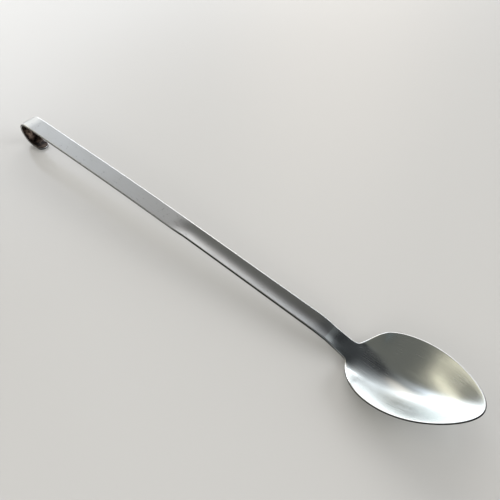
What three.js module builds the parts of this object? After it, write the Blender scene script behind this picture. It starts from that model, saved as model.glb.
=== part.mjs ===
// Long-handled serving spoon in satin stainless steel.
// A flat strap makes the handle. It is rolled into a hanging hook at one end, pressed into a shallow
// flute from mid-length to the neck, and butt-welded there to a pressed bowl.
// The spoon lies as it does on a table: the foot of the hook and the underside of the bowl touch z = 0,
// +X runs from the hook to the tip of the bowl, +Y runs across, and the origin is under the middle.
import * as THREE from "three";

// Strap of the handle, in millimetres
const STRAP_FOOT_WIDTH = 10;
const STRAP_GRIP_WIDTH = 14.2;
const STRAP_SHANK_WIDTH = 13.9;
const STRAP_NECK_WIDTH = 12.9;
const STRAP_THICKNESS = 2;
const STRAP_EDGE_RADIUS = 0.5;

// Hook: a half turn of the strap, which narrows round it, then a foot that ends in a half circle
const HOOK_INNER_RADIUS = 10.2;
const HOOK_FOOT_LENGTH = 9;

// Line of the handle from the hook to the weld. The grip and the shank are straight, the bow and the
// neck bend are arcs, and each angle, in degrees, turns the line further below the horizontal.
const GRIP_LENGTH = 79.7;
const GRIP_FALL = 1.75;
const BOW_LENGTH = 90;
const BOW_TURN = 2.3;
const SHANK_LENGTH = 117.3;
const NECK_BEND_LENGTH = 10;
const NECK_BEND_TURN = 9.4;

// Flute pressed into the strap; its start is measured from the end of the grip, and it ends at the weld
const FLUTE_START = 80;
const FLUTE_RUN_IN = 24;
const FLUTE_RADIUS = 14;
const FLUTE_RUN_OUT = 14;

// Square butt weld between the strap and the bowl, ground flush
const WELD_LENGTH = 1.2;

// Bowl: neck, outline from heel to tip, wall and rim line
const NECK_LENGTH = 15.9;
const NECK_STRAIGHT = 8;
const NECK_FILLET = 3.5;
const FILLET_FADE = 10;
const HEEL_LENGTH = 35;
const TOE_LENGTH = 46.9;
const BOWL_WIDTH = 56.6;
const HEEL_SHOULDER = 0.3;
const TIP_TAPER = 0.22;
const BOWL_THICKNESS = 1.3;
const BOWL_THINNING_LENGTH = 36;
const BOWL_EDGE_RADIUS = 0.35;
const WALL_STRAIGHTNESS = 0.8;
const HEEL_POWER = 3.5;
const HEEL_FADE = 26;
const BOTTOM_FROM_HEEL = 24;
const RIM_HEEL_HEIGHT = 7.6;
const RIM_TIP_HEIGHT = 28;
const RIM_SAG = 2.6;
const RIM_SPREAD = 9;

// Facets
const COLUMNS = 13;
const FOOT_ROWS = 7;
const HOOK_ROWS = 14;
const RUN_IN_ROWS = 6;
const BOW_ROWS = 5;
const SHANK_ROWS = 5;
const RUN_OUT_ROWS = 2;
const NECK_BEND_ROWS = 5;
const NECK_ROWS = 6;
const HEEL_ROWS = 12;
const TOE_ROWS = 18;

const DEGREE = Math.PI / 180;
const ACROSS = new THREE.Vector3(0, 1, 0);

const mix = THREE.MathUtils.lerp;
const smooth = (x, from, to) => THREE.MathUtils.smoothstep(x, from, to);

// Value at x of the straight lines that join points given by their places and values.
function joined(x, places, values) {
  const last = places.length - 1;
  const i = Math.min(Math.max(places.findIndex((place) => x < place), 1), last);
  const next = x < places[last] ? i : last;
  const share = THREE.MathUtils.clamp((x - places[next - 1]) / (places[next] - places[next - 1]), 0, 1);
  return mix(values[next - 1], values[next], share);
}

// Numbers from first to last in equal steps, both ends included.
function steps(first, last, count) {
  return Array.from({ length: count + 1 }, (_, i) => mix(first, last, i / count));
}

// Columns across a sheet from -1 to 1: one on each edge, the rest evenly spread inside the edge rounding.
function columns(edgeShare) {
  const inner = Math.max(1 - edgeShare, 0.6);
  return [-1, ...steps(-inner, inner, COLUMNS - 1), 1];
}

// Where a line stands after it has run a length while turning down by an angle: a straight or an arc.
function travel(pose, length, turn) {
  const fall = pose.fall + turn;
  if (Math.abs(turn) < 1e-9) {
    return { x: pose.x + length * Math.cos(fall), z: pose.z - length * Math.sin(fall), fall };
  }
  const radius = length / turn;
  return {
    x: pose.x + radius * (Math.sin(fall) - Math.sin(pose.fall)),
    z: pose.z + radius * (Math.cos(fall) - Math.cos(pose.fall)),
    fall,
  };
}

// Closed solid of a sheet from rows of points on its middle surface. Each point has a normal and half
// a thickness. A row with a single point is a pole, where a rounded end closes.
function sheetSolid(rows) {
  const positions = [];
  const index = [];
  const place = (point, side) => {
    const corner = point.normal.clone().multiplyScalar(side * point.half).add(point.middle);
    return positions.push(corner.x, corner.y, corner.z) / 3 - 1;
  };
  const faces = rows.map((row) => [1, -1].map((side) => row.map((point) => place(point, side))));
  const width = Math.max(...rows.map((row) => row.length));
  const corner = (i, side, j) => faces[i][side][Math.min(j, faces[i][side].length - 1)];
  const triangle = (a, b, c) => {
    if (a !== b && b !== c && c !== a) index.push(a, b, c);
  };
  const quad = (a, b, c, d) => {
    triangle(a, b, c);
    triangle(a, c, d);
  };
  for (let i = 0; i + 1 < rows.length; i++) {
    for (let j = 0; j + 1 < width; j++) {
      quad(corner(i, 0, j), corner(i + 1, 0, j), corner(i + 1, 0, j + 1), corner(i, 0, j + 1));
      quad(corner(i, 1, j + 1), corner(i + 1, 1, j + 1), corner(i + 1, 1, j), corner(i, 1, j));
    }
    quad(corner(i, 1, 0), corner(i + 1, 1, 0), corner(i + 1, 0, 0), corner(i, 0, 0));
    const last = width - 1;
    quad(corner(i, 0, last), corner(i + 1, 0, last), corner(i + 1, 1, last), corner(i, 1, last));
  }
  const end = rows.length - 1;
  for (let j = 0; j + 1 < width; j++) {
    if (rows[0].length > 1) quad(corner(0, 1, j), corner(0, 0, j), corner(0, 0, j + 1), corner(0, 1, j + 1));
    if (rows[end].length > 1) {
      quad(corner(end, 0, j), corner(end, 1, j), corner(end, 1, j + 1), corner(end, 0, j + 1));
    }
  }
  const geometry = new THREE.BufferGeometry();
  geometry.setAttribute("position", new THREE.Float32BufferAttribute(positions, 3));
  geometry.setIndex(index);
  geometry.computeVertexNormals();
  return geometry;
}

// Line of the strap at half its thickness, from the tip of the foot round the hook to the end of the weld.
const gripFall = GRIP_FALL * DEGREE;
const hookTurn = Math.PI + gripFall;
const hookMiddleRadius = HOOK_INNER_RADIUS + STRAP_THICKNESS / 2;
const strapRuns = [
  { length: HOOK_FOOT_LENGTH, turn: 0 },
  { length: hookMiddleRadius * hookTurn, turn: hookTurn },
  { length: GRIP_LENGTH, turn: 0 },
  { length: BOW_LENGTH, turn: BOW_TURN * DEGREE },
  { length: SHANK_LENGTH, turn: 0 },
  { length: NECK_BEND_LENGTH, turn: NECK_BEND_TURN * DEGREE },
  { length: WELD_LENGTH, turn: 0 },
];
const footTip = { x: HOOK_FOOT_LENGTH, z: STRAP_THICKNESS / 2, fall: -Math.PI };

// Distance along the strap at the end of each run.
const runEnds = strapRuns.reduce((ends, run) => [...ends, (ends.at(-1) ?? 0) + run.length], []);
const [footEnd, hookEnd, gripEnd, bowEnd, shankEnd, handleEnd, weldEnd] = runEnds;

// Position and fall of the strap's line at a distance from the tip of the foot.
function strapPose(distance) {
  let pose = footTip;
  let left = distance;
  for (const run of strapRuns) {
    const length = Math.min(left, run.length);
    pose = travel(pose, length, (run.turn * length) / run.length);
    left -= length;
    if (left <= 0) break;
  }
  return pose;
}

// Half width of the strap: a half circle at the tip of the foot, then tapers from run to run.
const footRadius = STRAP_FOOT_WIDTH / 2;
const strapWidths = [STRAP_FOOT_WIDTH, STRAP_GRIP_WIDTH, STRAP_SHANK_WIDTH, STRAP_NECK_WIDTH];
function strapHalfWidth(distance) {
  const short = Math.max(footRadius - distance, 0);
  if (short > 0) return Math.sqrt(footRadius ** 2 - short ** 2);
  return joined(distance, [footEnd, hookEnd, shankEnd, weldEnd], strapWidths) / 2;
}

// Curvature of the flute across the strap: nothing on the grip, a run-in to a full arc, and a run-out
// that leaves the strap flat at the weld.
function fluteCurvature(distance) {
  const start = gripEnd + FLUTE_START;
  const runIn = smooth(distance, start, start + FLUTE_RUN_IN);
  return (runIn * (1 - smooth(distance, handleEnd - FLUTE_RUN_OUT, handleEnd))) / FLUTE_RADIUS;
}

// Row of points across the strap. The flute bends the section to an arc whose mean height stays on the line.
function strapRow(distance) {
  const pose = strapPose(distance);
  const half = strapHalfWidth(distance);
  const along = new THREE.Vector3(Math.cos(pose.fall), 0, -Math.sin(pose.fall));
  const normal = new THREE.Vector3().crossVectors(along, ACROSS);
  const centre = new THREE.Vector3(pose.x, 0, pose.z);
  const curvature = fluteCurvature(distance);
  const flat = curvature * half < 1e-6;
  const mean = flat ? 1 : Math.sin(curvature * half) / (curvature * half);
  const point = (share) => {
    const arc = share * half;
    const aside = flat ? arc : Math.sin(curvature * arc) / curvature;
    const rise = flat ? 0 : (mean - Math.cos(curvature * arc)) / curvature;
    const lean = curvature * arc;
    return {
      middle: centre.clone().addScaledVector(ACROSS, aside).addScaledVector(normal, rise),
      normal: normal.clone().multiplyScalar(Math.cos(lean)).addScaledVector(ACROSS, -Math.sin(lean)),
      half: STRAP_THICKNESS / 2 - (Math.abs(share) === 1 ? STRAP_EDGE_RADIUS : 0),
    };
  };
  if (half === 0) return [{ ...point(1), middle: centre }];
  return columns(STRAP_EDGE_RADIUS / half).map(point);
}

// Handle: foot and hook, grip, bow, shank with its flute, and the bend at the neck.
function handleGeometry() {
  const roundEnd = steps(0, Math.PI / 2, FOOT_ROWS).map((a) => (1 - Math.cos(a)) * footRadius);
  const fluteStart = gripEnd + FLUTE_START;
  const fluteFull = fluteStart + FLUTE_RUN_IN;
  const distances = [
    ...roundEnd,
    ...steps(footEnd, hookEnd, HOOK_ROWS),
    ...steps(gripEnd, bowEnd, BOW_ROWS),
    ...steps(fluteStart, fluteFull, RUN_IN_ROWS),
    ...steps(fluteFull, handleEnd - FLUTE_RUN_OUT, SHANK_ROWS),
    ...steps(handleEnd - FLUTE_RUN_OUT, shankEnd, RUN_OUT_ROWS),
    ...steps(shankEnd, handleEnd, NECK_BEND_ROWS),
  ];
  const ordered = [...new Set(distances)].sort((a, b) => a - b);
  return sheetSolid(ordered.map(strapRow));
}

// Weld metal that fills the square gap between the strap and the bowl.
function weldGeometry() {
  return sheetSolid([strapRow(handleEnd), strapRow(weldEnd)]);
}

// Lines of the bowl against the distance x from the weld to the tip.
const neckPose = strapPose(weldEnd);
const neckHalfWidth = STRAP_NECK_WIDTH / 2;
const widestAt = NECK_LENGTH + HEEL_LENGTH;
const bowlEnd = widestAt + TOE_LENGTH;
const bottomAt = NECK_LENGTH + BOTTOM_FROM_HEEL;
const bottomHeight = BOWL_THICKNESS / 2;

// Half width of the outline: a tapered ellipse from the widest place to the tip, and an even polynomial of
// the same curvature back to the heel, where a smooth maximum joins it to the neck.
function outlineHalf(x) {
  if (x > widestAt) {
    const e = Math.min((x - widestAt) / TOE_LENGTH, 1);
    return (BOWL_WIDTH / 2) * Math.sqrt(1 - e * e) * (1 - TIP_TAPER * e * e);
  }
  const d2 = ((widestAt - x) / HEEL_LENGTH) ** 2;
  const bend = (0.5 + TIP_TAPER) * (HEEL_LENGTH / TOE_LENGTH) ** 2;
  const shape = 1 - d2 * (bend + d2 * (HEEL_SHOULDER + d2 * (1 - bend - HEEL_SHOULDER)));
  const heel = (BOWL_WIDTH / 2) * shape;
  const fade = 1 - smooth(x, NECK_LENGTH, NECK_LENGTH + FILLET_FADE);
  const fillet = NECK_FILLET * smooth(x, 0, NECK_LENGTH / 2) * fade;
  return (heel + neckHalfWidth + Math.hypot(heel - neckHalfWidth, fillet)) / 2;
}

// Height of the rim above the table: a line from heel to tip that sags between them.
function rimHeight(x) {
  const u = (x - NECK_LENGTH) / (bowlEnd - NECK_LENGTH);
  return mix(RIM_HEEL_HEIGHT, RIM_TIP_HEIGHT, u) - 4 * RIM_SAG * u * (1 - u);
}

// Height of the edges: they run on flat from the strap and lift to the rim as the outline spreads.
function edgeHeight(x) {
  const lift = smooth(outlineHalf(x), neckHalfWidth, neckHalfWidth + RIM_SPREAD);
  return mix(keelHeight(x), rimHeight(x), x > bottomAt ? 1 : lift);
}

// Height of the keel, the lowest line along the bowl: straight on from the neck, a quintic down to the
// bottom, then a parabola up to the tip. Both curves bend alike at the bottom.
function keelHeight(x) {
  const toeRun = bowlEnd - bottomAt;
  const toeRise = RIM_TIP_HEIGHT - bottomHeight;
  if (x >= bottomAt) return bottomHeight + toeRise * ((x - bottomAt) / toeRun) ** 2;
  const fallRate = Math.tan(neckPose.fall);
  const straight = neckPose.z - bottomHeight - Math.min(x, NECK_STRAIGHT) * fallRate;
  if (x <= NECK_STRAIGHT) return bottomHeight + straight;
  const run = bottomAt - NECK_STRAIGHT;
  const t = (x - NECK_STRAIGHT) / run;
  const bend = 2 * toeRise * (run / toeRun) ** 2;
  const startShape = 1 - 10 * t ** 3 + 15 * t ** 4 - 6 * t ** 5;
  const slopeShape = t - 6 * t ** 3 + 8 * t ** 4 - 3 * t ** 5;
  const bendShape = 0.5 * t ** 3 - t ** 4 + 0.5 * t ** 5;
  return bottomHeight + straight * startShape - fallRate * run * slopeShape + bend * bendShape;
}

// Point of the bowl's middle surface at distance x and share v of the half width. A section rises with
// the square of v and its walls straighten towards the rim. At the heel the floor is flat.
function bowlPoint(x, v) {
  const edge = edgeHeight(x);
  const wall = v * v * (1 + WALL_STRAIGHTNESS * (1 - Math.abs(v)));
  const rise = mix(Math.abs(v) ** HEEL_POWER, wall, smooth(x, NECK_LENGTH, NECK_LENGTH + HEEL_FADE));
  const drop = (edge - keelHeight(x)) * (1 - rise);
  const lean = neckPose.fall * (1 - smooth(x, 0, NECK_LENGTH));
  return new THREE.Vector3(
    neckPose.x + x - drop * Math.sin(lean),
    v * outlineHalf(x),
    edge - drop * Math.cos(lean),
  );
}

// Normal of the bowl's middle surface, from small steps along and across it.
function bowlNormal(x, v) {
  const step = 0.02;
  const inside = THREE.MathUtils.clamp(x, step, bowlEnd - 10 * step);
  const along = bowlPoint(inside + step, v).sub(bowlPoint(inside - step, v));
  const across = bowlPoint(inside, v + step).sub(bowlPoint(inside, v - step));
  return along.cross(across).normalize();
}

// Row of points across the bowl. The wall thins from the strap's thickness to the bowl's own.
function bowlRow(x) {
  if (x === 0) return strapRow(weldEnd);
  const half = mix(STRAP_THICKNESS, BOWL_THICKNESS, smooth(x, 0, BOWL_THINNING_LENGTH)) / 2;
  const edgeRadius = mix(STRAP_EDGE_RADIUS, BOWL_EDGE_RADIUS, smooth(x, 0, BOWL_THINNING_LENGTH));
  const point = (v) => ({
    middle: bowlPoint(x, v),
    normal: bowlNormal(x, v),
    half: half - (Math.abs(v) === 1 ? edgeRadius : 0),
  });
  if (x >= bowlEnd) return [{ ...point(1), normal: bowlNormal(bowlEnd, 0) }];
  return columns(edgeRadius / outlineHalf(x)).map(point);
}

// Bowl: neck, heel down to the bottom, and toe up to the tip, where the rows crowd together.
function bowlGeometry() {
  const toe = steps(0, Math.PI / 2, TOE_ROWS).map((a) => mix(bottomAt, bowlEnd, Math.sin(a)));
  const distances = [
    ...steps(0, NECK_LENGTH, NECK_ROWS),
    ...steps(0, 1, HEEL_ROWS).slice(1).map((t) => mix(NECK_LENGTH, bottomAt, t * t)),
    ...toe.slice(1),
  ];
  return sheetSolid(distances.map(bowlRow));
}

// Mesh of one piece in satin stainless steel.
function piece(name, geometry, color, roughness) {
  const material = new THREE.MeshStandardMaterial({ color, roughness, metalness: 1 });
  const mesh = new THREE.Mesh(geometry, material);
  mesh.name = name;
  return mesh;
}

const spoon = new THREE.Group();
spoon.name = "serving_spoon";
spoon.add(piece("handle", handleGeometry(), 0xc3c6c6, 0.34));
spoon.add(piece("neck_weld", weldGeometry(), 0xbcbfbf, 0.36));
spoon.add(piece("bowl", bowlGeometry(), 0xc3c6c6, 0.32));

// The origin stands under the middle of the spoon.
const box = new THREE.Box3().setFromObject(spoon);
spoon.position.x = -(box.min.x + box.max.x) / 2;

export default spoon;
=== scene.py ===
"""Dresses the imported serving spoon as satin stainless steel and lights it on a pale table."""

import logging
import math
from dataclasses import dataclass, replace
from enum import Enum
from typing import NamedTuple

import bpy
import numpy as np
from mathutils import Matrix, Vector


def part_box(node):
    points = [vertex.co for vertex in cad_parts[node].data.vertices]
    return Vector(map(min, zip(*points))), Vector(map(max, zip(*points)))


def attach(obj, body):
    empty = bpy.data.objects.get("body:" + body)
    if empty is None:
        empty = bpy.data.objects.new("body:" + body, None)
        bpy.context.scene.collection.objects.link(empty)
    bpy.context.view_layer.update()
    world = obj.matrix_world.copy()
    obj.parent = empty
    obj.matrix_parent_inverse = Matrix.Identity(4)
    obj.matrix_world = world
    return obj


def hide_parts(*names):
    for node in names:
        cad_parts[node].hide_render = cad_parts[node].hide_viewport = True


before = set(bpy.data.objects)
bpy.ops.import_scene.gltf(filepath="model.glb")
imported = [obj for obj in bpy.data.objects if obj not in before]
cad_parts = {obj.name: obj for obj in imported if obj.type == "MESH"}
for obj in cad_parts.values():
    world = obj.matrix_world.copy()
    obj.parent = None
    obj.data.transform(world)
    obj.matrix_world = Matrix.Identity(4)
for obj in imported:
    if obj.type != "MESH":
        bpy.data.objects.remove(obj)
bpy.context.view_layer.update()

LOG = logging.getLogger("serving_spoon")
MM = 0.001
IMAGE_SIDE = 500
UV_NAME = "along_across"


def smooth(x: np.ndarray, first: float, last: float) -> np.ndarray:
    """Gives 0 before first, 1 after last and a cubic ease between them."""
    t = np.clip((np.asarray(x, float) - first) / (last - first), 0.0, 1.0)
    return t * t * (3.0 - 2.0 * t)


def mix(a: np.ndarray | float, b: np.ndarray | float, share: np.ndarray | float) -> np.ndarray:
    """Goes from a to b by a share."""
    return a + (b - a) * share


def columns(inner: float, count: int) -> np.ndarray:
    """Gives shares of the half width from -1 to 1: even steps inside, and a narrow strip along each edge."""
    return np.concatenate([[-1.0], np.linspace(-inner, inner, count), [1.0]])


def linear(hex_colour: str) -> tuple[float, float, float, float]:
    """Turns an sRGB hex colour into linear RGBA.

    Args:
        hex_colour: Six hex digits after a hash sign.

    Returns:
        Linear red, green, blue and an alpha of 1.
    """
    values = [int(hex_colour[i:i + 2], 16) / 255.0 for i in (1, 3, 5)]
    r, g, b = (v / 12.92 if v <= 0.04045 else ((v + 0.055) / 1.055) ** 2.4 for v in values)
    return (r, g, b, 1.0)


class Side(Enum):
    """Face of the sheet that a mark, or the tarnish and painted shade, belongs to."""

    OUTER = 1.0
    INNER = -1.0


class StrapEnds(NamedTuple):
    """Distance along the strap's line at which each of its runs ends, in metres."""

    foot: float
    hook: float
    roll: float
    grip: float
    bow: float
    shank: float
    neck_bend: float
    weld: float


@dataclass(frozen=True)
class StrapLine:
    """Line of the strap from the foot of the hook to the weld, in metres and radians.

    Straights and arcs follow each other: the foot, the hook, a gentler roll that eases out of it, the grip,
    a slight bow, the shank, the bend at the neck and the weld. The fall is the angle of the line below the
    horizontal: it is minus a half turn on the foot, which points back, and grows round the hook.
    """

    foot_width: float = 10.0 * MM
    grip_width: float = 14.2 * MM
    shank_width: float = 13.9 * MM
    neck_width: float = 12.9 * MM
    thickness: float = 2.0 * MM
    edge_radius: float = 0.8 * MM
    hook_inner_radius: float = 9.92 * MM
    foot_length: float = 9.0 * MM
    roll_length: float = 9.0 * MM
    roll_turn: float = math.radians(9.0)
    grip_length: float = 72.8 * MM
    grip_fall: float = math.radians(1.75)
    bow_length: float = 90.0 * MM
    bow_turn: float = math.radians(2.3)
    shank_length: float = 117.3 * MM
    neck_bend_length: float = 10.0 * MM
    neck_bend_turn: float = math.radians(9.4)
    flute_start: float = 82.0 * MM
    flute_run_in: float = 18.0 * MM
    flute_lean: float = math.radians(21.0)
    flute_sharpness: float = 2.0
    flute_run_out: float = 14.0 * MM
    flute_left: float = 0.75
    flute_sink: float = 0.55
    flute_lift: float = 0.3 * MM
    lift_run: float = 60.0 * MM
    weld_length: float = 1.2 * MM

    @property
    def runs(self) -> list[tuple[float, float]]:
        """Length and turn of each straight or arc, in order."""
        hook_turn = math.pi + self.grip_fall - self.roll_turn
        middle = self.hook_inner_radius + self.thickness / 2
        return [
            (self.foot_length, 0.0),
            (middle * hook_turn, hook_turn),
            (self.roll_length, self.roll_turn),
            (self.grip_length, 0.0),
            (self.bow_length, self.bow_turn),
            (self.shank_length, 0.0),
            (self.neck_bend_length, self.neck_bend_turn),
            (self.weld_length, 0.0),
        ]

    @property
    def ends(self) -> StrapEnds:
        """Distance along the line at the end of each run."""
        return StrapEnds(*np.cumsum([length for length, _ in self.runs]))

    @property
    def origin_x(self) -> float:
        """Place of the hook's centre along X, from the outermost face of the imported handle."""
        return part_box("handle")[0][0] + self.hook_inner_radius + self.thickness

    def pose(self, s: np.ndarray) -> tuple[np.ndarray, np.ndarray, np.ndarray]:
        """Adds up the runs to x, z and fall at each distance s.

        Along an arc of radius r the line gains r times the change of the fall's sine in x, and r times
        the change of its cosine in z.

        Args:
            s: Distances from the tip of the foot.

        Returns:
            x, z and fall, each shaped like s.
        """
        s = np.asarray(s, float)
        x = np.full_like(s, self.origin_x + self.foot_length)
        z = np.full_like(s, self.thickness / 2)
        fall, start = -math.pi, 0.0
        angle = np.full_like(s, fall)
        for length, turn in self.runs:
            gone = np.clip(s - start, 0.0, length)
            if turn == 0.0:
                x, z = x + gone * math.cos(fall), z - gone * math.sin(fall)
            else:
                radius = length / turn
                now = fall + gone / radius
                x = x + radius * (np.sin(now) - math.sin(fall))
                z = z + radius * (np.cos(now) - math.cos(fall))
                angle = angle + gone / radius
            fall, start = fall + turn, start + length
        return x, z, angle

    def half_width(self, s: np.ndarray) -> np.ndarray:
        """Half width inside the edge rounding: a half circle at the foot, then tapers from run to run.

        Args:
            s: Distances along the line.

        Returns:
            Half widths, shaped like s.
        """
        ends = self.ends
        widths = [self.foot_width, self.grip_width, self.shank_width, self.neck_width]
        full = np.interp(s, [ends.foot, ends.hook, ends.shank, ends.weld], widths) / 2
        radius = self.foot_width / 2
        short = np.maximum(radius - s, 0.0)
        round_end = np.sqrt(np.maximum((radius - self.edge_radius) ** 2 - short ** 2, 0.0))
        return np.where(s < radius, round_end, full - self.edge_radius)

    def left(self, s: np.ndarray) -> np.ndarray:
        """Share of the flute that is left as it runs out towards the weld."""
        end = self.ends.neck_bend
        return mix(1.0, self.flute_left, smooth(s, end - self.flute_run_out, end))

    def flute(self, s: np.ndarray) -> np.ndarray:
        """Lean of the flute's flanks, which eases in to its full angle."""
        start = self.ends.grip + self.flute_start
        return self.flute_lean * smooth(s, start, start + self.flute_run_in) * self.left(s)

    def lift(self, s: np.ndarray) -> np.ndarray:
        """Height of the section over the line: it rises slowly, so that no kink shows where the flute starts."""
        first = self.ends.grip + self.flute_start + (self.flute_run_in - self.lift_run) / 2
        return self.flute_lift * smooth(s, first, first + self.lift_run) * self.left(s)

    def trough(self, lean: np.ndarray, w: np.ndarray) -> tuple[np.ndarray, np.ndarray, np.ndarray]:
        """Bends a section into a trough with two flanks and a rounded bottom.

        The bottom sinks by a share of the depth, and the edges rise by the rest. The lean across the section
        is the flanks' lean times the hyperbolic tangent of the share w, and the rise is its integral. The
        section draws in by half the integral of the lean's square.

        Args:
            lean: Lean of the flanks at the edges.
            w: Shares of the half width, from -1 to 1.

        Returns:
            Offset across and rise as shares of the half width, and the lean.
        """
        k = self.flute_sharpness
        full = math.tanh(k)
        rise = lean * (np.log(np.cosh(k * w)) - self.flute_sink * math.log(math.cosh(k))) / (k * full)
        aside = w - lean ** 2 / 2 * (w - np.tanh(k * w) / k) / full ** 2
        return aside, rise, lean * np.tanh(k * w) / full

    def section(self, s: np.ndarray, v: np.ndarray) -> tuple[np.ndarray, np.ndarray, np.ndarray]:
        """Gives the trough's section at each distance.

        Args:
            s: Distances along the line.
            v: Shares of the half width inside the edge rounding, from -1 to 1.

        Returns:
            Offset across, rise against the line and lean of the normal, each of shape (s, v).
        """
        s, v = s[:, None], v[None, :]
        half = self.half_width(s)
        edge = np.maximum(half + self.edge_radius, self.edge_radius)
        aside, rise, lean = self.trough(self.flute(s), v * half / edge)
        return edge * aside, edge * rise + self.lift(s), lean

    def surface(self, s: np.ndarray, v: np.ndarray) -> tuple[np.ndarray, np.ndarray]:
        """Carries the section along the line.

        Args:
            s: Distances along the line.
            v: Shares of the half width.

        Returns:
            Points of the middle surface and its normals, each of shape (s, v, 3).
        """
        x, z, fall = (a[:, None] for a in self.pose(s))
        aside, rise, lean = self.section(s, v)
        points = np.stack([x + rise * np.sin(fall), aside, z + rise * np.cos(fall)], axis=-1)
        up = np.cos(lean)
        normals = np.stack([up * np.sin(fall), -np.sin(lean), up * np.cos(fall)], axis=-1)
        return points, normals


@dataclass(frozen=True)
class BowlForm:
    """Middle surface of the bowl, against the distance x from the weld and the share v of its width.

    The outline is an egg on an ellipse, the rim line sags between heel and tip, and the keel runs down
    from the neck as a quintic and up to the tip as a parabola of the same curvature.
    """

    line: StrapLine
    neck_length: float = 15.2 * MM
    neck_straight: float = 8.0 * MM
    neck_fillet: float = 3.5 * MM
    fillet_fade: float = 10.0 * MM
    heel_length: float = 35.7 * MM
    toe_length: float = 46.9 * MM
    width: float = 56.6 * MM
    heel_shoulder: float = 0.3
    tip_taper: float = 0.22
    thickness: float = 1.3 * MM
    thinning_length: float = 36.0 * MM
    wall_straightness: float = 0.8
    heel_crease: float = 0.45
    corner_crease: float = 0.68
    crease_start: float = 4.0 * MM
    crease_run: float = 16.0 * MM
    crease_round: float = 0.12
    heel_fade: float = 30.0 * MM
    bottom_from_heel: float = 24.7 * MM
    rim_heel: float = 7.6 * MM
    rim_tip: float = 28.0 * MM
    rim_sag: float = 2.6 * MM
    rim_delay: float = 3.0 * MM
    rim_spread: float = 14.0 * MM

    @property
    def end(self) -> float:
        """Distance from the weld to the tip."""
        return self.neck_length + self.heel_length + self.toe_length

    @property
    def bottom(self) -> float:
        """Distance from the weld to the lowest point."""
        return self.neck_length + self.bottom_from_heel

    @property
    def weld_end(self) -> float:
        """Distance along the strap's line at which the bowl starts."""
        return self.line.ends.weld

    def neck(self) -> tuple[float, float, float]:
        """Gives x, z and fall of the line where the bowl starts."""
        x, z, fall = self.line.pose(np.array([self.weld_end]))
        return float(x[0]), float(z[0]), float(fall[0])

    def neck_half(self) -> float:
        """Gives the neck's half width."""
        return self.line.neck_width / 2

    def thin(self, x: np.ndarray) -> np.ndarray:
        """Share by which the sheet has thinned from the strap's thickness to the bowl's."""
        return smooth(x, 0.0, self.thinning_length)

    def half(self, x: np.ndarray) -> np.ndarray:
        """Half thickness of the sheet."""
        return mix(self.line.thickness, self.thickness, self.thin(x)) / 2

    def rounding(self, x: np.ndarray) -> np.ndarray:
        """Radius of the edge, which is fully round along the rim."""
        return mix(self.line.edge_radius, self.thickness / 2, self.thin(x))

    def outline(self, x: np.ndarray) -> np.ndarray:
        """Half width: an even polynomial from heel to widest, joined to the neck, then a tapered ellipse.

        Both have the same curvature at the widest place. The join to the neck is a smooth maximum.

        Args:
            x: Distances from the weld.

        Returns:
            Half widths, shaped like x.
        """
        widest = self.neck_length + self.heel_length
        e = np.clip((x - widest) / self.toe_length, 0.0, 1.0)
        toe = np.sqrt(1.0 - e * e) * (1.0 - self.tip_taper * e * e)
        d2 = ((widest - x) / self.heel_length) ** 2
        bend = (0.5 + self.tip_taper) * (self.heel_length / self.toe_length) ** 2
        heel = 1.0 - d2 * (bend + d2 * (self.heel_shoulder + d2 * (1.0 - bend - self.heel_shoulder)))
        egg = self.width / 2 * np.where(x > widest, toe, heel)
        fade = 1.0 - smooth(x, self.neck_length, self.neck_length + self.fillet_fade)
        fillet = self.neck_fillet * smooth(x, 0.0, self.neck_length / 2) * fade
        half = self.neck_half()
        return np.where(x > widest, egg, (egg + half + np.hypot(egg - half, fillet)) / 2)

    def rim(self, x: np.ndarray) -> np.ndarray:
        """Height of the rim line."""
        u = (x - self.neck_length) / (self.heel_length + self.toe_length)
        return mix(self.rim_heel, self.rim_tip, u) - 4.0 * self.rim_sag * u * (1.0 - u)

    def keel(self, x: np.ndarray) -> np.ndarray:
        """Height of the lowest line along the bowl: straight on, then down to the bottom and up to the tip.

        Args:
            x: Distances from the weld.

        Returns:
            Heights over the table, shaped like x.
        """
        low = self.thickness / 2
        toe, rise = self.end - self.bottom, self.rim_tip - low
        _, z, fall = self.neck()
        run = self.bottom - self.neck_straight
        t = np.clip((x - self.neck_straight) / run, 0.0, 1.0)
        straight = z - np.minimum(x, self.neck_straight) * math.tan(fall)
        slope = -math.tan(fall) * run
        bend = 2.0 * rise * (run / toe) ** 2
        heel = (
            (straight - low) * (1.0 - 10.0 * t ** 3 + 15.0 * t ** 4 - 6.0 * t ** 5)
            + slope * (t - 6.0 * t ** 3 + 8.0 * t ** 4 - 3.0 * t ** 5)
            + bend * (0.5 * t ** 3 - t ** 4 + 0.5 * t ** 5)
        )
        return low + np.where(x < self.bottom, heel, rise * ((x - self.bottom) / toe) ** 2)

    def edge(self, x: np.ndarray) -> np.ndarray:
        """Height of the edges: on from the strap, then lifted to the rim as the outline spreads.

        Args:
            x: Distances from the weld.

        Returns:
            Heights over the table, shaped like x.
        """
        start = self.neck_half() + self.rim_delay
        lift = np.where(x > self.bottom, 1.0, smooth(self.outline(x), start, start + self.rim_spread))
        return mix(self.keel(x), self.rim(x), lift)

    def ramp(self, u: np.ndarray | float) -> np.ndarray:
        """Hyperbola that goes from level to straight up the wall, by the distance u past the crease."""
        return (u + np.hypot(u, self.crease_round)) / 2

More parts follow.
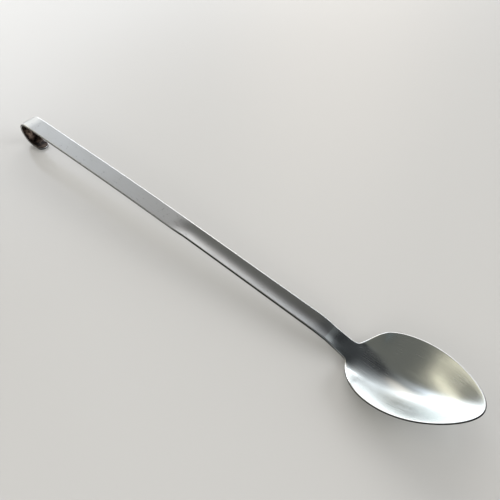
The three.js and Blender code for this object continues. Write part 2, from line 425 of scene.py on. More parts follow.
    def heel_wall(self, x: np.ndarray, v: np.ndarray) -> np.ndarray:
        """Rise of a section at the heel, from 0 to 1: a flat floor and straight walls, with a rounded crease.

        The crease starts close to the edges at the corners of the neck and runs inwards.

        Args:
            x: Distances from the weld.
            v: Shares of the half width, same shape.

        Returns:
            Shares of the height from keel to edge.
        """
        start = self.neck_length + self.crease_start
        crease = mix(self.corner_crease, self.heel_crease, smooth(x, start, start + self.crease_run))
        low, high = self.ramp(-crease), self.ramp(1.0 - crease)
        return (self.ramp(np.abs(v) - crease) - low) / (high - low)

    def points(self, x: np.ndarray, v: np.ndarray) -> np.ndarray:
        """Stands the bowl's sections one after the other along x.

        A section rises with the square of v near the keel, and its walls straighten towards the edges by a
        cube of v. At the heel the floor is flat and the walls are straight. The section lies square to the
        neck at first and upright further on. The strap's flute fades out along the neck.

        Args:
            x: Distances from the weld, any shape.
            v: Shares of the half width, same shape.

        Returns:
            Points of the middle surface, with a last axis of 3.
        """
        neck_x, _, fall = self.neck()
        edge = self.edge(x)
        wall = v * v * (1.0 + self.wall_straightness * (1.0 - np.abs(v)))
        fade = smooth(x, self.neck_length, self.neck_length + self.heel_fade)
        drop = (edge - self.keel(x)) * (1.0 - mix(self.heel_wall(x, v), wall, fade))
        lean = fall * (1.0 - smooth(x, 0.0, self.neck_length))
        left = 1.0 - smooth(x, 0.0, self.neck_length)
        aside, rise, _ = self.line.trough(self.line.flute(np.array(self.weld_end)) * left, v)
        drop = drop - self.neck_half() * rise - self.line.lift(np.array(self.weld_end)) * left
        return np.stack(
            [neck_x + x - drop * np.sin(lean), aside * self.outline(x), edge - drop * np.cos(lean)], axis=-1
        )

    def surface(self, x: np.ndarray, v: np.ndarray) -> tuple[np.ndarray, np.ndarray]:
        """Works out the points and, from small steps both ways, the normals.

        Args:
            x: Distances from the weld.
            v: Shares of the half width.

        Returns:
            Points and normals, each of shape (x, v, 3).
        """
        step = 0.01 * MM
        inside = np.clip(x, step, self.end - 2 * step)
        along = self.points(inside + step, v) - self.points(inside - step, v)
        across = self.points(inside, v + 0.01) - self.points(inside, v - 0.01)
        normals = np.cross(along, across)
        return self.points(x, v), normals / np.linalg.norm(normals, axis=-1, keepdims=True)

    def inset_edge(self, rows: int) -> tuple[np.ndarray, np.ndarray]:
        """Spreads rows evenly along the outline and draws them in by the rounding of the edge.

        The outward direction at the edge is the normal crossed with the outline's own direction, so the
        inset is measured along the wall.

        Args:
            rows: Count of rows from the weld to the tip.

        Returns:
            Place x of each row and the share v at which its edge lies.
        """
        turn = np.linspace(0.0, math.pi, 4001)
        dense = self.end * (1.0 - np.cos(turn)) / 2
        gone = np.concatenate([[0.0], np.cumsum(np.hypot(np.diff(dense), np.diff(self.outline(dense))))])
        x = np.interp(np.linspace(0.0, gone[-1], rows), gone, dense)
        x[-1] = self.end - 0.02 * MM
        edge, normals = self.surface(x, np.ones_like(x))
        step = 0.005 * MM
        ahead = self.points(np.minimum(x + step, self.end), np.ones_like(x))
        outward = np.cross(normals, ahead - self.points(np.maximum(x - step, 0.0), np.ones_like(x)))
        outward /= np.linalg.norm(outward, axis=1, keepdims=True)
        r = self.rounding(x)
        row_x = np.maximum.accumulate(x - r * outward[:, 0])
        row_x[0] = 0.0
        return row_x, (edge[:, 1] - r * outward[:, 1]) / self.outline(row_x)


@dataclass
class SheetMesh:
    """Closed shell of a sheet: two faces offset from a middle surface, and a rounded edge swept round it.

    The middle surface is a grid of rows along the piece and columns across it. At a pole the whole row
    is one point, and an open end is closed by one flat face.
    """

    points: np.ndarray
    normals: np.ndarray
    half: np.ndarray
    radius: np.ndarray
    along: np.ndarray
    across: np.ndarray
    pole_first: bool = False
    pole_last: bool = False
    edge_steps: int = 7

    def edges(self) -> list[np.ndarray]:
        """Lists the rows and columns of each run of edge, with the sheet on its right seen from above.

        Returns:
            One array of (row, column) pairs for each unbroken edge.
        """
        rows, cols = self.points.shape[:2]
        first, last = int(self.pole_first), rows - int(self.pole_last)
        ahead = np.arange(first, last)
        left = np.stack([ahead, np.full_like(ahead, cols - 1)], axis=1)
        right = np.stack([ahead[::-1], np.zeros_like(ahead)], axis=1)
        if self.pole_first:
            return [np.concatenate([right, [[0, 0]], left])]
        if self.pole_last:
            return [np.concatenate([left, [[rows - 1, 0]], right])]
        return [left, right]

    def profile(self, i: np.ndarray, j: np.ndarray) -> tuple[np.ndarray, np.ndarray]:
        """Sweeps the rounding along one run of edge.

        The profile is a quarter circle, a flat side and a quarter circle. It lies in the plane of the
        normal and the outward direction, which is the normal crossed with the edge's own direction.

        Args:
            i: Rows of the edge's points.
            j: Columns of the edge's points.

        Returns:
            Points of shape (edge, step, 3), and their height between the faces from 1 to -1.
        """
        ring, normal = self.points[i, j], self.normals[i, j]
        outward = np.cross(normal, np.gradient(ring, axis=0))
        outward /= np.linalg.norm(outward, axis=1, keepdims=True)
        quarter = np.radians(np.linspace(90.0, 0.0, self.edge_steps))[1:]
        angle = np.concatenate([quarter, -quarter[::-1]])
        centre = np.sign(np.arange(angle.size) - quarter.size + 0.5) * -1.0
        half, radius = self.half[i, None], self.radius[i, None]
        reach = radius * np.cos(angle)
        rise = centre * (half - radius) + radius * np.sin(angle)
        strip = ring[:, None] + reach[..., None] * outward[:, None] + rise[..., None] * normal[:, None]
        return strip, rise / half

    def build(self, name: str) -> bpy.types.Object:
        """Makes the mesh object, with a UV map in metres along and across and the face that it lies on.

        Args:
            name: Name of the object.

        Returns:
            The new object, linked to the scene.
        """
        rows, cols = self.points.shape[:2]
        offset = self.half[:, None, None] * self.normals
        top = np.arange(rows * cols).reshape(rows, cols)
        if self.pole_first:
            top[0] = top[0, 0]
        if self.pole_last:
            top[-1] = top[-1, 0]
        low = top + rows * cols
        verts = [(self.points + offset).reshape(-1, 3), (self.points - offset).reshape(-1, 3)]
        places = [np.stack([self.along, self.across], axis=-1).reshape(-1, 2)] * 2
        sides = [np.full(rows * cols, Side.OUTER.value), np.full(rows * cols, Side.INNER.value)]
        faces = self.cells(top) + [cell[:, ::-1] for cell in self.cells(low)]
        count = 2 * rows * cols
        rims = {}
        for run in self.edges():
            i, j = run.T
            strip, side = self.profile(i, j)
            steps = strip.shape[1]
            middle = count + np.arange(i.size * steps).reshape(i.size, steps)
            band = np.concatenate([top[i, j][:, None], middle, low[i, j][:, None]], axis=1)
            faces.append(self.quads(band))
            verts.append(strip.reshape(-1, 3))
            places.append(np.repeat(np.stack([self.along[i, j], self.across[i, j]], axis=-1), steps, axis=0))
            sides.append(side.ravel())
            count += i.size * steps
            rims.update({(int(i[k]), int(j[k])): middle[k] for k in (0, -1)})
        if not self.pole_first:
            faces.append(self.cap(top[0], low[0], rims[0, 0], rims[0, cols - 1])[None, :])
        if not self.pole_last:
            end = self.cap(top[-1], low[-1], rims[rows - 1, 0], rims[rows - 1, cols - 1])
            faces.append(end[None, ::-1])
        return self.link(name, np.concatenate(verts), faces, np.concatenate(places), np.concatenate(sides))

    @staticmethod
    def quads(grid: np.ndarray) -> np.ndarray:
        """Gives the four corners of every cell of a grid of point numbers."""
        return np.stack([grid[:-1, :-1], grid[1:, :-1], grid[1:, 1:], grid[:-1, 1:]], axis=-1).reshape(-1, 4)

    def cells(self, grid: np.ndarray) -> list[np.ndarray]:
        """Gives a face's quads, with a fan of triangles at each pole.

        Args:
            grid: Point numbers by row and column.

        Returns:
            Arrays of corners, one row per polygon.
        """
        rows, cols = grid.shape
        found = [self.quads(grid[int(self.pole_first):rows - int(self.pole_last)])]
        if self.pole_first:
            found.append(np.stack([np.repeat(grid[0, 0], cols - 1), grid[1, :-1], grid[1, 1:]], axis=-1))
        if self.pole_last:
            found.append(np.stack([np.repeat(grid[-1, 0], cols - 1), grid[-2, 1:], grid[-2, :-1]], axis=-1))
        return found

    @staticmethod
    def cap(top: np.ndarray, low: np.ndarray, near: np.ndarray, far: np.ndarray) -> np.ndarray:
        """Goes round an open end: along the top, down the far edge, back below and up the near edge."""
        return np.concatenate([top, far, low[::-1], near[::-1]])

    @staticmethod
    def link(
        name: str, verts: np.ndarray, faces: list[np.ndarray], places: np.ndarray, sides: np.ndarray
    ) -> bpy.types.Object:
        """Drops unused points, fills the mesh and its attributes, and smooths it.

        Args:
            name: Name of the object.
            verts: Points, of shape (n, 3).
            faces: Arrays of corners, one row per polygon.
            places: Distance along and across for each point, in metres.
            sides: Height between the faces for each point, from 1 to -1.

        Returns:
            The new object.
        """
        sizes = np.concatenate([np.full(len(array), array.shape[1]) for array in faces])
        used, corners = np.unique(np.concatenate([array.ravel() for array in faces]), return_inverse=True)
        mesh = bpy.data.meshes.new(name)
        mesh.vertices.add(used.size)
        mesh.vertices.foreach_set("co", verts[used].astype(np.float32).ravel())
        mesh.loops.add(corners.size)
        mesh.loops.foreach_set("vertex_index", corners.ravel().astype(np.int32))
        mesh.polygons.add(sizes.size)
        mesh.polygons.foreach_set("loop_start", (np.cumsum(sizes) - sizes).astype(np.int32))
        mesh.update(calc_edges=True)
        layer = mesh.uv_layers.new(name=UV_NAME)
        layer.data.foreach_set("uv", places[used][corners].astype(np.float32).ravel())
        mark = mesh.attributes.new("side", "FLOAT", "POINT")
        mark.data.foreach_set("value", sides[used].astype(np.float32))
        mesh.validate()
        mesh.polygons.foreach_set("use_smooth", np.ones(len(mesh.polygons), bool))
        mesh.set_sharp_from_angle(angle=math.radians(60))
        obj = bpy.data.objects.new(name, mesh)
        bpy.context.scene.collection.objects.link(obj)
        return obj


def add_node(
    tree: bpy.types.NodeTree, kind: str, settings: dict | None = None, links: dict | None = None
) -> bpy.types.Node:
    """Adds one node with its settings and links.

    Args:
        tree: Node tree that takes it.
        kind: Node type without the ShaderNode prefix.
        settings: Node properties, or input values by socket name or number.
        links: Output sockets by the input that they feed.

    Returns:
        The new node.
    """
    node = tree.nodes.new("ShaderNode" + kind)
    for key, value in (settings or {}).items():
        if isinstance(key, str) and hasattr(node, key):
            setattr(node, key, value)
        else:
            node.inputs[key].default_value = value
    for key, socket in (links or {}).items():
        tree.links.new(socket, node.inputs[key])
    return node


@dataclass(frozen=True)
class Places:
    """Sockets that tell a finish where it is on the sheet.

    They give the distance along it in metres, the place on the object, the height between the faces from 1
    to -1, the same without its sign, and noise drawn out along the brushing.
    """

    along: bpy.types.NodeSocket
    place: bpy.types.NodeSocket
    side: bpy.types.NodeSocket
    height: bpy.types.NodeSocket
    hairlines: bpy.types.NodeSocket


@dataclass(frozen=True)
class TarnishAndShade:
    """Brown-black patches on one face of the sheet, up to a distance along it: partly real tarnish, partly painted
    shade where the face lies under the strap.
    """

    side: Side
    end: float
    fade: float
    dark: str = "#17110f"
    light: str = "#6d5d52"
    patch: float = 3.2 * MM

    def lay(self, tree: bpy.types.NodeTree, clean: bpy.types.NodeSocket, at: Places) -> bpy.types.NodeSocket:
        """Lays the tarnish and painted shade over the clean colour.

        Args:
            tree: Node tree of the material.
            clean: Colour of the clean steel.
            at: Place on the sheet.

        Returns:
            The colour with the tarnish and painted shade laid over it.
        """
        noise = {"Scale": 1.0 / self.patch, "Detail": 5.0, "Roughness": 0.7}
        patches = add_node(tree, "TexNoise", noise, {"Vector": at.place})
        share = add_node(tree, "MapRange", {"From Min": 0.42, "From Max": 0.66}, {"Value": patches.outputs["Fac"]})
        tints = {"data_type": "RGBA", 6: linear(self.dark), 7: linear(self.light)}
        brown = add_node(tree, "Mix", tints, {0: share.outputs["Result"]})
        ends = {"From Min": self.end, "From Max": self.end + self.fade, "To Min": 1.0, "To Max": 0.0}
        reach = add_node(tree, "MapRange", ends, {"Value": at.along})
        faces = {"From Min": 0.5 * self.side.value, "From Max": 0.95 * self.side.value}
        face = add_node(tree, "MapRange", faces, {"Value": at.side})
        where = add_node(
            tree, "Math", {"operation": "MULTIPLY"}, {0: reach.outputs["Result"], 1: face.outputs["Result"]}
        )
        links = {0: where.outputs[0], 6: clean, 7: brown.outputs[2]}
        return add_node(tree, "Mix", {"data_type": "RGBA"}, links).outputs[2]


@dataclass(frozen=True)
class Joint:
    """Place along a piece from which its finish takes over from the rougher one of its neighbour."""

    start: float
    run: float
    roughness: float


@dataclass(frozen=True)
class SatinSteel:
    """Austenitic stainless steel, 18/8, belt-brushed and wiped to a satin.

    The eye sees a neutral grey metal whose reflections are soft, a little stretched across the brushing,
    with faint hairlines along it and small dark pits of wear. Its edges are buffed glossy along their rounding,
    which also carries a painted highlight, and the upright sides of the edges are darkened as painted shade.
    Real hairlines are about 0.05 mm apart, too fine to show, so they are drawn coarser.
    """

    name: str
    tint: str = "#d6d7d5"
    # Painted shade: colour of the upright sides of the edges.
    edge_shade_tint: str = "#2e2b2a"
    # Painted highlight: lighter colour of the edge roundings.
    edge_highlight_tint: str = "#f0f1ef"
    worn_tint: str = "#26221f"
    roughness: float = 0.3
    buffed_gloss: float = 0.55
    anisotropy: float = 0.0
    hairline_spacing: float = 0.4 * MM
    hairline_length: float = 26.0 * MM
    hairline_height: float = 0.05 * MM
    hairline_depth: float = 0.05
    hairline_dark: float = 0.05
    hairline_swing: float = 0.04
    smudge_spacing: float = 16.0 * MM
    smudge_swing: float = 0.03
    pit_spacing: float = 2.0 * MM
    pit_patch: float = 7.0 * MM
    pit_radius: float = 0.3
    pit_share: float = 0.5
    tarnish_and_shade: TarnishAndShade | None = None
    joint: Joint | None = None

    def material(self) -> bpy.types.Material:
        """Builds the procedural material.

        Returns:
            The new material.
        """
        material = bpy.data.materials.new(self.name)
        material.use_nodes = True
        tree = material.node_tree
        tree.nodes.clear()
        at = self.places(tree)
        depth = {"Strength": self.hairline_depth, "Distance": self.hairline_height}
        bump = add_node(tree, "Bump", depth, {"Height": at.hairlines})
        tangent = add_node(tree, "Tangent", {"direction_type": "UV_MAP", "uv_map": UV_NAME})
        shader = add_node(
            tree,
            "BsdfPrincipled",
            {"Metallic": 1.0, "Anisotropic": self.anisotropy, "Anisotropic Rotation": 0.25},
            {
                "Tangent": tangent.outputs["Tangent"],
                "Base Color": self.colour(tree, at),
                "Roughness": self.gloss(tree, at),
                "Normal": bump.outputs["Normal"],
            },
        )
        add_node(tree, "OutputMaterial", None, {"Surface": shader.outputs["BSDF"]})
        return material

    def places(self, tree: bpy.types.NodeTree) -> Places:
        """Adds the nodes that find a place on the sheet.

        Args:
            tree: Node tree of the material.

        Returns:
            Their sockets.
        """
        uv = add_node(tree, "UVMap", {"uv_map": UV_NAME}).outputs["UV"]
        scale = (1.0 / self.hairline_length, 1.0 / self.hairline_spacing, 1.0)
        drawn_out = add_node(tree, "Mapping", {"Scale": scale}, {"Vector": uv}).outputs["Vector"]
        noise = {"Scale": 1.0, "Detail": 3.0, "Roughness": 0.6}
        side = add_node(tree, "Attribute", {"attribute_name": "side"}).outputs["Fac"]
        return Places(
            along=add_node(tree, "SeparateXYZ", None, {0: uv}).outputs["X"],
            place=add_node(tree, "TexCoord").outputs["Object"],
            side=side,
            height=add_node(tree, "Math", {"operation": "ABSOLUTE"}, {0: side}).outputs[0],
            hairlines=add_node(tree, "TexNoise", noise, {"Vector": drawn_out}).outputs["Fac"],
        )

    def gloss(self, tree: bpy.types.NodeTree, at: Places) -> bpy.types.NodeSocket:
        """Varies the roughness by hairlines and wide smudges, eases it in from a joint and buffs the edges.

        Args:
            tree: Node tree of the material.
            at: Place on the sheet.

        Returns:
            The roughness.
        """
        joint = self.joint or Joint(0.0, 1.0, self.roughness)
        eased = {
            "interpolation_type": "SMOOTHSTEP", "From Min": joint.start, "From Max": joint.start + joint.run,
            "To Min": joint.roughness, "To Max": self.roughness,
        }
        rough = add_node(tree, "MapRange", eased, {"Value": at.along}).outputs["Result"]
        noise = {"Scale": 1.0 / self.smudge_spacing, "Detail": 3.0}
        smudges = add_node(tree, "TexNoise", noise, {"Vector": at.place}).outputs["Fac"]
        for marks, spread, swing in ((at.hairlines, 0.2, self.hairline_swing), (smudges, 0.15, self.smudge_swing)):
            ranges = {"From Min": 0.5 - spread, "From Max": 0.5 + spread, "To Min": -swing, "To Max": swing}
            change = add_node(tree, "MapRange", ranges, {"Value": marks}).outputs["Result"]
            rough = add_node(tree, "Math", {"operation": "ADD"}, {0: rough, 1: change}).outputs[0]
        ranges = {"From Min": 0.97, "From Max": 1.0, "To Min": self.buffed_gloss, "To Max": 1.0}
        buffed = add_node(tree, "MapRange", ranges, {"Value": at.height}).outputs["Result"]
        return add_node(tree, "Math", {"operation": "MULTIPLY"}, {0: rough, 1: buffed}).outputs[0]

    def colour(self, tree: bpy.types.NodeTree, at: Places) -> bpy.types.NodeSocket:
        """Darkens the steel in its pits and hairlines, paints a highlight on the edge roundings and shade on the
        upright sides of the edges, and lays on the hook's tarnish and painted shade.

        Args:
            tree: Node tree of the material.
            at: Place on the sheet.

        Returns:
            The base colour.
        """
        cells = add_node(tree, "TexVoronoi", {"Scale": 1.0 / self.pit_spacing}, {"Vector": at.place})
        noise = {"Scale": 1.0 / self.pit_patch, "Detail": 2.0}
        patches = add_node(tree, "TexNoise", noise, {"Vector": at.place}).outputs["Fac"]
        ranges = {"From Min": 0.4, "From Max": 0.65, "To Min": 0.0, "To Max": self.pit_radius}
        radius = add_node(tree, "MapRange", ranges, {"Value": patches}).outputs["Result"]
        ranges = {"From Min": 0.0, "To Min": self.pit_share, "To Max": 0.0}
        links = {"Value": cells.outputs["Distance"], "From Max": radius}
        pit = add_node(tree, "MapRange", ranges, links).outputs["Result"]
        ranges = {"From Min": 0.35, "From Max": 0.6, "To Min": self.hairline_dark, "To Max": 0.0}
        line = add_node(tree, "MapRange", ranges, {"Value": at.hairlines}).outputs["Result"]
        worn = add_node(tree, "Math", {"operation": "ADD"}, {0: pit, 1: line}).outputs[0]
        tints = {"data_type": "RGBA", 6: linear(self.tint), 7: linear(self.worn_tint)}
        colour = add_node(tree, "Mix", tints, {0: worn}).outputs[2]
        # The edge roundings get a painted highlight, and the upright sides of the edges get painted shade.
        for tint, full, none in ((self.edge_highlight_tint, 0.95, 1.0), (self.edge_shade_tint, 0.45, 0.62)):
            ranges = {"From Min": full, "From Max": none, "To Min": 1.0, "To Max": 0.0}
            share = add_node(tree, "MapRange", ranges, {"Value": at.height}).outputs["Result"]
            colour = add_node(tree, "Mix", {"data_type": "RGBA", 7: linear(tint)}, {0: share, 6: colour}).outputs[2]
        return colour if self.tarnish_and_shade is None else self.tarnish_and_shade.lay(tree, colour, at)


@dataclass
class StrapPiece:
    """Stretch of the strap, cut from its line."""

    line: StrapLine
    finish: SatinSteel
    inner_share: float = 0.985
    inner_columns: int = 41

    def sheet(self, s: np.ndarray, pole_first: bool = False) -> SheetMesh:
        """Carries the strap's section along the stretch.

        Args:
            s: Distances along the line.
            pole_first: Whether the stretch starts at the rounded tip of the foot.

        Returns:
            The closed shell of the stretch.
        """
        line, v = self.line, columns(self.inner_share, self.inner_columns)
        points, normals = line.surface(s, v)
        return SheetMesh(
            points,
            normals,
            half=np.full(s.size, line.thickness / 2),
            radius=np.full(s.size, line.edge_radius),
            along=np.repeat(s[:, None], v.size, axis=1),
            across=v[None, :] * line.half_width(s)[:, None],
            pole_first=pole_first,
        )


@dataclass
class Handle(StrapPiece):
    """Strap handle with its hook, flat grip, fluted shank and neck bend."""

    foot_rows: int = 33

    def build(self) -> bpy.types.Object:
        """Spaces rows by the bend of each run, and dresses the strap.

        Returns:
            The handle, riding on the root body in place of its CAD node.
        """
        line, ends = self.line, self.line.ends
        radius = line.foot_width / 2 - line.edge_radius
        quarter = np.linspace(0.0, math.pi / 2, self.foot_rows)
        flute = ends.grip + line.flute_start
        stretches = (
            (ends.foot, ends.hook, 121),
            (ends.hook, ends.roll, 21),
            (ends.roll, ends.grip, 41),
            (ends.grip, flute, 41),
            (flute, flute + line.flute_run_in, 61),
            (flute + line.flute_run_in, ends.shank, 41),
            (ends.shank, ends.neck_bend, 41),
        )
        rows = [line.edge_radius + (1.0 - np.cos(quarter)) * radius, *(np.linspace(*each) for each in stretches)]
        s = np.unique(np.round(np.concatenate(rows), 9))
        piece = self.sheet(s, pole_first=True).build("handle_strap")
        return dress(piece, self.finish, "handle")


@dataclass
class Weld(StrapPiece):
    """Butt weld at the neck, ground flush with the strap."""

    rows: int = 5

    def build(self) -> bpy.types.Object:
        """Carries the strap's section across the weld."""
        s = np.linspace(self.line.ends.neck_bend, self.line.ends.weld, self.rows)
        return dress(self.sheet(s).build("neck_weld_seam"), self.finish, "neck_weld")


@dataclass
class Bowl:
    """Pressed bowl with its neck and rounded rim."""

    form: BowlForm
    finish: SatinSteel
    rows: int = 261
    inner_share: float = 0.992
    inner_columns: int = 121

    def build(self) -> bpy.types.Object:
        """Works out the bowl's sheet on rows that lie evenly along its outline.

        Returns:
            The bowl, riding on the root body in place of its CAD node.
        """
        form = self.form
        row_x, edge_v = form.inset_edge(self.rows)
        shares = columns(self.inner_share, self.inner_columns)
        x = np.repeat(row_x[:, None], shares.size, axis=1)
        v = edge_v[:, None] * shares[None, :]
        points, normals = form.surface(x, v)
        middle = shares.size // 2
        points[-1], normals[-1] = points[-1, middle], normals[-1, middle]
        shape = SheetMesh(
            points,
            normals,
            half=form.half(row_x),
            radius=form.rounding(row_x),
            along=x + form.weld_end,
            across=v * mix(form.neck_half(), form.width / 2, form.thin(x)),
            pole_last=True,
        )
        return dress(shape.build("bowl_shell"), self.finish, "bowl")


def dress(piece: bpy.types.Object, finish: SatinSteel, node: str) -> bpy.types.Object:
    """Gives a piece its finish and ties it to the frame.

    Args:
        piece: Mesh object.
        finish: Finish of the piece.
        node: CAD node that it stands for.

    Returns:
        The same piece.
    """
    piece.data.materials.append(finish.material())
    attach(piece, "root")
    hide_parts(node)
    return piece


@dataclass(frozen=True)
class Pane:
    """Bright part of the room between two azimuths, from +Y towards +X, with soft sides, in degrees.

    The heights give its share of the full level at a list of elevations. They hold at the pivot's azimuth
    and sink by the slant for each degree to the right of it.
    """

    left: float
    right: float
    soft: float
    level: float
    colour: str
    heights: tuple[tuple[float, float], ...]
    slant: float = 0.0
    pivot: float = -66.0

    def add(
        self,
        tree: bpy.types.NodeTree,
        azimuth: bpy.types.NodeSocket,
        elevation: bpy.types.NodeSocket,
        below: bpy.types.NodeSocket,
    ) -> bpy.types.NodeSocket:
        """Adds the pane's light to a colour.

        Args:
            tree: Node tree of the world.
            azimuth: Angle round, in radians.
            elevation: Angle up as a share, from 0 straight down to 1 straight up.
            below: Colour that it is added to.

        Returns:
            The new colour.
        """
        sides = [
            add_node(
                tree, "MapRange",
                {"interpolation_type": "SMOOTHSTEP", "From Min": math.radians(edge - self.soft),
                 "From Max": math.radians(edge + self.soft), "To Min": 1.0 - enters, "To Max": enters},
                {"Value": azimuth},
            )
            for edge, enters in ((self.left, 1.0), (self.right, 0.0))
        ]
        across = add_node(
            tree, "Math", {"operation": "MULTIPLY"}, {0: sides[0].outputs["Result"], 1: sides[1].outputs["Result"]}
        )
        sunk = add_node(
            tree, "Math",
            {"operation": "MULTIPLY_ADD", 1: self.slant / math.pi, 2: -self.slant * self.pivot / 180.0},
            {0: azimuth},
        )
        height = add_node(tree, "Math", {"operation": "ADD"}, {0: elevation, 1: sunk.outputs[0]})
        ramp = add_node(tree, "ValToRGB", None, {"Fac": height.outputs[0]})
        stops = ramp.color_ramp.elements
        while len(stops) < len(self.heights):
            stops.new(0.5)
        for stop, (angle, share) in zip(stops, self.heights):
            stop.position, stop.color = angle / 180.0 + 0.5, (share, share, share, 1.0)
        share = add_node(tree, "Math", {"operation": "MULTIPLY"}, {0: across.outputs[0], 1: ramp.outputs["Color"]})
        strength = add_node(tree, "Math", {"operation": "MULTIPLY", 1: self.level}, {0: share.outputs[0]})
        tinted = add_node(
            tree, "VectorMath", {"operation": "SCALE", 0: linear(self.colour)[:3]}, {"Scale": strength.outputs[0]}
        )
        total = add_node(tree, "VectorMath", {"operation": "ADD"}, {0: below, 1: tinted.outputs["Vector"]})
        return total.outputs["Vector"]


@dataclass(frozen=True)
class Lamp:
    """Soft box that lights the scene without showing in the metal: direction in degrees, metres and watts."""

    name: str
    azimuth: float
    elevation: float
    reach: float
    size: tuple[float, float]
    power: float
    colour: str = "#fff8f0"

    def build(self) -> bpy.types.Object:
        """Hangs the soft box, aimed at the origin.

        Returns:
            The lamp, linked to the scene.
        """
        data = bpy.data.lights.new(self.name, "AREA")
        data.shape, data.size, data.size_y = "RECTANGLE", *self.size
        data.energy, data.color = self.power, linear(self.colour)[:3]
        lamp = bpy.data.objects.new(self.name, data)
        bpy.context.scene.collection.objects.link(lamp)
        az, el = math.radians(self.azimuth), math.radians(self.elevation)
        away = Vector((math.sin(az) * math.cos(el), math.cos(az) * math.cos(el), math.sin(el)))
        lamp.location = self.reach * away
        lamp.rotation_euler = away.to_track_quat("Z", "Y").to_euler()
        lamp.visible_glossy = False
        return lamp


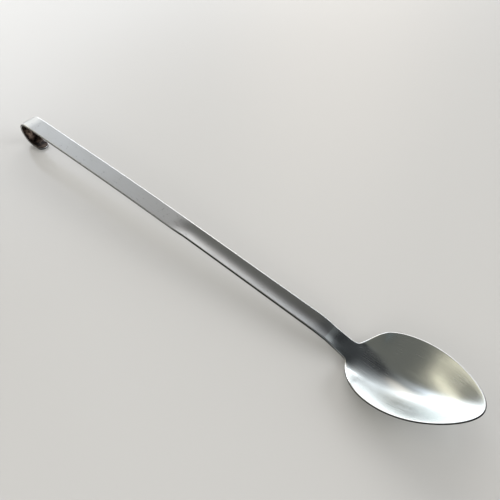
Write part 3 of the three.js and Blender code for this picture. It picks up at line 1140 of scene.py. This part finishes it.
@dataclass
class Studio:
    """Pale table, soft window light from the far side and a camera above the near side.

    The camera's target is measured from the middle of the hook's bend, which lies a fixed way in from the
    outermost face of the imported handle.
    """

    hook_middle: float = 12.2 * MM
    azimuth: float = math.radians(39.905)
    elevation: float = math.radians(49.828)
    distance: float = 414.4 * MM
    target: tuple[float, float] = (212.76 * MM, 24.5 * MM)
    focal_px: float = 575.0
    sensor_mm: float = 36.0
    floor_side: float = 12.0
    floor_drop: float = 0.05 * MM
    table: str = "#bfc0bf"
    room: str = "#343538"
    panes: tuple[Pane, ...] = (
        Pane(-74.0, 14.0, 9.0, 2.4, "#f4f8ff",
             ((-40.0, 0.0), (-10.0, 0.6), (5.0, 1.0), (30.0, 1.0), (36.0, 0.6), (41.0, 0.37), (48.0, 0.23),
              (58.0, 0.15), (70.0, 0.05), (85.0, 0.0)), 0.36),
        Pane(-113.0, -70.0, 16.0, 2.5, "#fff5dc",
             ((6.0, 0.03), (17.0, 0.06), (20.0, 1.0), (22.0, 1.0), (25.0, 0.2), (36.0, 0.05), (50.0, 0.0)), 0.4),
        Pane(-40.0, -21.0, 8.0, 0.8, "#ffeedd", ((12.0, 0.0), (20.0, 1.0), (38.0, 1.0), (52.0, 0.4), (60.0, 0.0))),
        Pane(-76.0, -58.0, 6.0, 0.25, "#a8c8ff", ((28.0, 0.0), (34.0, 1.0), (42.0, 1.0), (48.0, 0.0))),
        Pane(26.0, 75.0, 10.0, 3.0, "#f4f8ff", ((4.0, 0.0), (14.0, 1.0), (35.0, 1.0), (45.0, 0.0))),
        Pane(72.0, 122.0, 14.0, 0.5, "#eef2f2", ((2.0, 0.0), (14.0, 1.0), (50.0, 1.0), (68.0, 0.0))),
        Pane(115.0, 215.0, 12.0, 0.18, "#e8f4f4", ((15.0, 0.0), (30.0, 1.0), (70.0, 1.0), (85.0, 0.0))),
        Pane(-190.0, -60.0, 35.0, 0.16, "#f6f4e6", ((15.0, 0.0), (35.0, 1.0), (90.0, 1.0))),
        Pane(-220.0, 220.0, 5.0, 0.75, "#e8e6e2", ((-12.0, 0.0), (-4.0, 1.0), (7.0, 1.0), (13.0, 0.0))),
    )
    lamps: tuple[Lamp, ...] = (
        Lamp("overhead_soft_box", 0.0, 89.0, 2.4, (3.4, 3.4), 16.0),
        Lamp("window_soft_box", -40.0, 22.0, 3.0, (3.6, 1.6), 70.0),
        Lamp("left_soft_box", -125.0, 22.0, 3.0, (3.6, 1.6), 40.0),
        Lamp("right_soft_box", 60.0, 22.0, 3.0, (3.6, 1.6), 40.0),
        Lamp("near_soft_box", 150.0, 22.0, 3.0, (3.6, 1.6), 30.0),
    )

    def camera(self) -> bpy.types.Object:
        """Places the camera by azimuth, elevation and distance from its target.

        Returns:
            The camera, set as the scene's own.
        """
        data = bpy.data.cameras.new("camera")
        data.sensor_width = self.sensor_mm
        data.lens = self.focal_px / IMAGE_SIDE * data.sensor_width
        data.clip_start, data.clip_end = 0.01, 20.0
        camera = bpy.data.objects.new("camera", data)
        bpy.context.scene.collection.objects.link(camera)
        flat = math.cos(self.elevation)
        back = Vector((math.sin(self.azimuth) * flat, -math.cos(self.azimuth) * flat, math.sin(self.elevation)))
        aim = Vector((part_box("handle")[0][0] + self.hook_middle + self.target[0], self.target[1], 0.0))
        camera.location = aim + self.distance * back
        camera.rotation_euler = back.to_track_quat("Z", "Y").to_euler()
        bpy.context.scene.camera = camera
        return camera

    def floor(self) -> bpy.types.Object:
        """Lays a wide plain table top under the spoon.

        Returns:
            The table top.
        """
        mesh = bpy.data.meshes.new("table_top")
        far = self.floor_side / 2
        mesh.from_pydata([(-far, -far, 0), (far, -far, 0), (far, far, 0), (-far, far, 0)], [], [(0, 1, 2, 3)])
        floor = bpy.data.objects.new("table_top", mesh)
        bpy.context.scene.collection.objects.link(floor)
        floor.location.z = -self.floor_drop
        # Polished stone gives the eye a pale even ground with a soft mirror image close to the spoon.
        material = bpy.data.materials.new("polished_pale_stone")
        material.use_nodes = True
        tree = material.node_tree
        tree.nodes.clear()
        shader = add_node(tree, "BsdfPrincipled", {"Base Color": linear(self.table), "Roughness": 0.15})
        add_node(tree, "OutputMaterial", None, {"Surface": shader.outputs["BSDF"]})
        mesh.materials.append(material)
        return floor

    def world(self) -> None:
        """Surrounds the spoon with a dim room, its window and a pale horizon."""
        world = bpy.data.worlds.new("room")
        bpy.context.scene.world = world
        world.use_nodes = True
        tree = world.node_tree
        tree.nodes.clear()
        place = add_node(tree, "TexCoord")
        axes = add_node(tree, "SeparateXYZ", None, {0: place.outputs["Generated"]})
        azimuth = add_node(tree, "Math", {"operation": "ARCTAN2"}, {0: axes.outputs["X"], 1: axes.outputs["Y"]})
        rise = add_node(tree, "Math", {"operation": "ARCSINE"}, {0: axes.outputs["Z"]})
        elevation = add_node(
            tree, "MapRange", {"From Min": -math.pi / 2, "From Max": math.pi / 2}, {"Value": rise.outputs[0]}
        )
        base = add_node(tree, "RGB")
        base.outputs[0].default_value = linear(self.room)
        total = base.outputs[0]
        for pane in self.panes:
            total = pane.add(tree, azimuth.outputs[0], elevation.outputs["Result"], total)
        light = add_node(tree, "Background", {"Strength": 1.0}, {"Color": total})
        add_node(tree, "OutputWorld", None, {"Surface": light.outputs["Background"]})

    def build(self) -> None:
        """Sets up the camera, table, lamps, world and view."""
        self.camera()
        self.floor()
        for lamp in self.lamps:
            lamp.build()
        self.world()
        bpy.context.scene.view_settings.view_transform = "Standard"


def main() -> None:
    """Builds the spoon's pieces in order, then the studio."""
    logging.basicConfig(level=logging.INFO, format="%(name)s: %(message)s")
    line = StrapLine()
    # The strap is brushed along its length, with broad soft glints, pits of wear, and a hook whose inner face is
    # darkened partly by tarnish and partly by painted shade.
    strap = SatinSteel("satin_stainless_weld", tint="#c2c3c1", roughness=0.42, anisotropy=0.7, pit_share=0.6)
    handle = replace(strap, name="satin_stainless_strap", tarnish_and_shade=TarnishAndShade(Side.INNER, line.ends.hook, 12.0 * MM))
    # The bowl is wiped smoother, so that it shows the room in closer reflections.
    bowl = SatinSteel(
        "satin_stainless_bowl", tint="#d1d6d3", roughness=0.23, anisotropy=0.35, hairline_depth=0.025,
        pit_share=0.1, joint=Joint(line.ends.weld, 8.0 * MM, strap.roughness),
    )
    pieces = [
        Handle(line, handle).build(),
        Weld(line, strap).build(),
        Bowl(BowlForm(line), bowl).build(),
    ]
    for piece in pieces:
        LOG.info("%s: %d faces", piece.name, len(piece.data.polygons))
    Studio().build()


if __name__ == "__main__":
    main()
